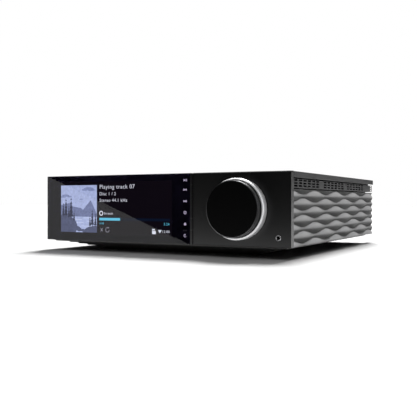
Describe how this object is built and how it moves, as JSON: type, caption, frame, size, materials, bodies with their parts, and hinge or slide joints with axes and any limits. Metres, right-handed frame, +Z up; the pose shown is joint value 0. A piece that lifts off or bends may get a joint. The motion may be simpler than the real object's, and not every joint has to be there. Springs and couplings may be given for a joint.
{
  "type": "streaming amplifier",
  "caption": "Slim all-in-one streaming amplifier with a full-height display, a two-part dial, wave-relief side panels and a rear panel of connectors.",
  "frame": {"origin": "on the surface the feet stand on, below the middle of the whole object's box", "axes": "+X to the right seen from the front, +Y from the dial to the rear, +Z up"},
  "size_m": [0.317, 0.352, 0.089],
  "materials": {
    "fascia_metal": "black bead-blasted anodised aluminium",
    "display_glass": "dark polished cover glass",
    "lcd_panel": "display panel, lit when on",
    "bracket_steel": "zinc-plated sheet steel",
    "circuit_board": "solder-masked circuit board",
    "key_metal": "dark satin key bar",
    "switch_plastic": "black moulded switch",
    "clear_plastic": "clear moulded light pipe",
    "ring_metal": "silver turned aluminium",
    "knob_metal": "black anodised turned aluminium",
    "shaft_steel": "ground steel",
    "sleeve_brass": "turned brass",
    "jack_body": "moulded socket with a plated nose",
    "cover_paint": "satin dark grey powder coat",
    "rail_paint": "satin black paint",
    "panel_metal": "satin dark grey cast aluminium",
    "magnet_nickel": "nickel-plated magnet",
    "floor_steel": "black painted sheet steel",
    "base_plastic": "black fine-textured moulding",
    "foot_rubber": "black rubber",
    "screw_steel": "black zinc-plated steel",
    "rear_steel": "black painted sheet steel",
    "sink_aluminium": "natural extruded aluminium",
    "transformer_core": "ferrite core and taped winding",
    "capacitor_sleeve": "sleeved aluminium can",
    "ribbon_film": "flat flexible cable",
    "inlet_plastic": "black moulded nylon",
    "rocker_plastic": "black moulded rocker",
    "terminal_brass": "gold-plated brass and nylon collar",
    "cap_plastic": "clear-coated cap",
    "socket_gold": "gold-plated socket",
    "port_shell": "tinned steel shell"
  },
  "bodies": {
    "chassis": {"front_fascia": "fascia_metal", "display_glass": "display_glass", "lcd_module": "lcd_panel", "display_frame": "bracket_steel", "display_board": "circuit_board", "key_board": "circuit_board", "key_switches": "switch_plastic", "light_pipes": "clear_plastic", "dial_bushing": "sleeve_brass", "dial_encoder": "switch_plastic", "dial_board": "circuit_board", "headphone_jack": "jack_body", "headphone_board": "circuit_board", "top_cover": "cover_paint", "side_rail_right": "rail_paint", "side_rail_left": "rail_paint", "panel_magnets": "magnet_nickel", "chassis_floor": "floor_steel", "base_plinth": "base_plastic", "rubber_feet": "foot_rubber", "foot_screws": "screw_steel", "rear_panel": "rear_steel", "cover_screws": "screw_steel", "main_board": "circuit_board", "supply_board": "circuit_board", "board_spacers": "sleeve_brass", "display_ribbon": "ribbon_film", "amplifier_module_left": "circuit_board", "amplifier_module_right": "circuit_board", "heat_sink": "sink_aluminium", "streaming_module": "circuit_board", "supply_transformer": "transformer_core", "supply_capacitors": "capacitor_sleeve", "speaker_terminals": "terminal_brass", "line_sockets": "socket_gold", "network_port": "port_shell", "usb_port": "port_shell", "hdmi_port": "port_shell", "optical_port": "inlet_plastic", "mains_inlet": "inlet_plastic", "switch_housing": "inlet_plastic"},
    "volume": {"volume_knob": "knob_metal", "volume_shaft": "shaft_steel"},
    "source": {"source_ring": "ring_metal", "source_sleeve": "sleeve_brass"},
    "panel_right": {"side_panel_right": "panel_metal", "strike_plates_right": "bracket_steel"},
    "panel_left": {"side_panel_left": "panel_metal", "strike_plates_left": "bracket_steel"},
    "rocker": {"power_rocker": "rocker_plastic"},
    "play_button": {"key_play": "key_metal"},
    "previous_button": {"key_previous": "key_metal"},
    "next_button": {"key_next": "key_metal"},
    "info_button": {"key_info": "key_metal"},
    "home_button": {"key_home": "key_metal"},
    "power_button": {"key_power": "key_metal"},
    "cap_1": {"terminal_cap_1": "cap_plastic"},
    "cap_2": {"terminal_cap_2": "cap_plastic"},
    "cap_3": {"terminal_cap_3": "cap_plastic"},
    "cap_4": {"terminal_cap_4": "cap_plastic"}
  },
  "joints": [
    {"name": "volume_turn", "type": "hinge", "parent": "chassis", "child": "volume", "pos_m": [0.1013, -0.158, 0.0505], "axis": [0, 1, 0], "continuous": true},
    {"name": "source_turn", "type": "hinge", "parent": "chassis", "child": "source", "pos_m": [0.1013, -0.158, 0.0505], "axis": [0, 1, 0], "continuous": true},
    {"name": "panel_right_off", "type": "slide", "parent": "chassis", "child": "panel_right", "axis": [1, 0, 0], "range_m": [0, 0.03]},
    {"name": "panel_left_off", "type": "slide", "parent": "chassis", "child": "panel_left", "axis": [-1, 0, 0], "range_m": [0, 0.03]},
    {"name": "rocker_swing", "type": "hinge", "parent": "chassis", "child": "rocker", "pos_m": [-0.112, 0.152, 0.068], "axis": [-1, 0, 0], "range_deg": [0, 20]},
    {"name": "play_press", "type": "slide", "parent": "chassis", "child": "play_button", "axis": [0, 1, 0], "range_m": [0, 0.0005], "stiffness_N_per_m": 300, "springref_m": -0.001},
    {"name": "previous_press", "type": "slide", "parent": "chassis", "child": "previous_button", "axis": [0, 1, 0], "range_m": [0, 0.0005], "stiffness_N_per_m": 300, "springref_m": -0.001},
    {"name": "next_press", "type": "slide", "parent": "chassis", "child": "next_button", "axis": [0, 1, 0], "range_m": [0, 0.0005], "stiffness_N_per_m": 300, "springref_m": -0.001},
    {"name": "info_press", "type": "slide", "parent": "chassis", "child": "info_button", "axis": [0, 1, 0], "range_m": [0, 0.0005], "stiffness_N_per_m": 300, "springref_m": -0.001},
    {"name": "home_press", "type": "slide", "parent": "chassis", "child": "home_button", "axis": [0, 1, 0], "range_m": [0, 0.0005], "stiffness_N_per_m": 300, "springref_m": -0.001},
    {"name": "power_press", "type": "slide", "parent": "chassis", "child": "power_button", "axis": [0, 1, 0], "range_m": [0, 0.0005], "stiffness_N_per_m": 300, "springref_m": -0.001},
    {"name": "cap_1_turn", "type": "hinge", "parent": "chassis", "child": "cap_1", "pos_m": [0.022, 0.165, 0.044], "axis": [0, 1, 0], "range_deg": [0, 1080]},
    {"name": "cap_2_turn", "type": "hinge", "parent": "chassis", "child": "cap_2", "pos_m": [0.003, 0.165, 0.044], "axis": [0, 1, 0], "range_deg": [0, 1080]},
    {"name": "cap_3_turn", "type": "hinge", "parent": "chassis", "child": "cap_3", "pos_m": [-0.027, 0.165, 0.044], "axis": [0, 1, 0], "range_deg": [0, 1080]},
    {"name": "cap_4_turn", "type": "hinge", "parent": "chassis", "child": "cap_4", "pos_m": [-0.046, 0.165, 0.044], "axis": [0, 1, 0], "range_deg": [0, 1080]}
  ]
}
